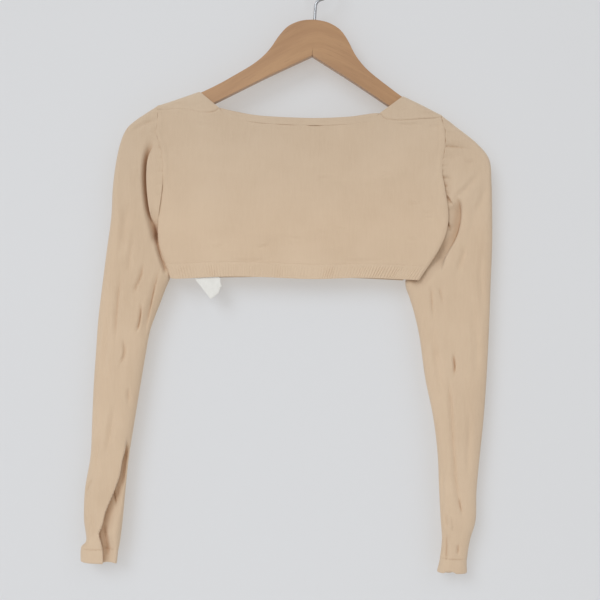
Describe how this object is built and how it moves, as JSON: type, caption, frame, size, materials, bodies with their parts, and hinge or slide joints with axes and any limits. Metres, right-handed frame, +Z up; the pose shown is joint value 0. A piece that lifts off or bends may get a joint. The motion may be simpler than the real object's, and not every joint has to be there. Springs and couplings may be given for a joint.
{
  "type": "knit bolero on a wooden hanger",
  "caption": "Cropped long-sleeved fine-knit bolero with a straight neckline, ribbed hem and gathered sleeve heads, hanging on a flat wooden hanger with a wire hook.",
  "frame": {"origin": "inner crown of the hook, where it bears on the rail", "axes": "+Z up, +Y away from the viewer of the garment's back panel, +X to the viewer's right"},
  "size_m": [0.5283, 0.0229, 0.7828],
  "materials": {
    "knit": "fine plain knit, soft matt with a slight sheen",
    "rib_knit": "rib knit and turned bands, matt",
    "label_tape": "smooth woven satin tape, bare",
    "hanger_wood": "light hardwood, clear satin varnish",
    "hook_wire": "bright plated wire"
  },
  "bodies": {
    "root": {"panel_back": "knit", "panel_front": "knit", "shoulder_left": "knit", "shoulder_right": "knit", "sleeve_left": "knit", "sleeve_right": "knit", "rib_back": "rib_knit", "rib_front": "rib_knit", "neckband_back": "rib_knit", "neckband_front": "rib_knit", "cuff_left": "rib_knit", "cuff_right": "rib_knit", "care_label": "label_tape", "hanger_arm_left": "hanger_wood", "hanger_arm_right": "hanger_wood", "hanger_hook": "hook_wire"}
  },
  "joints": []
}
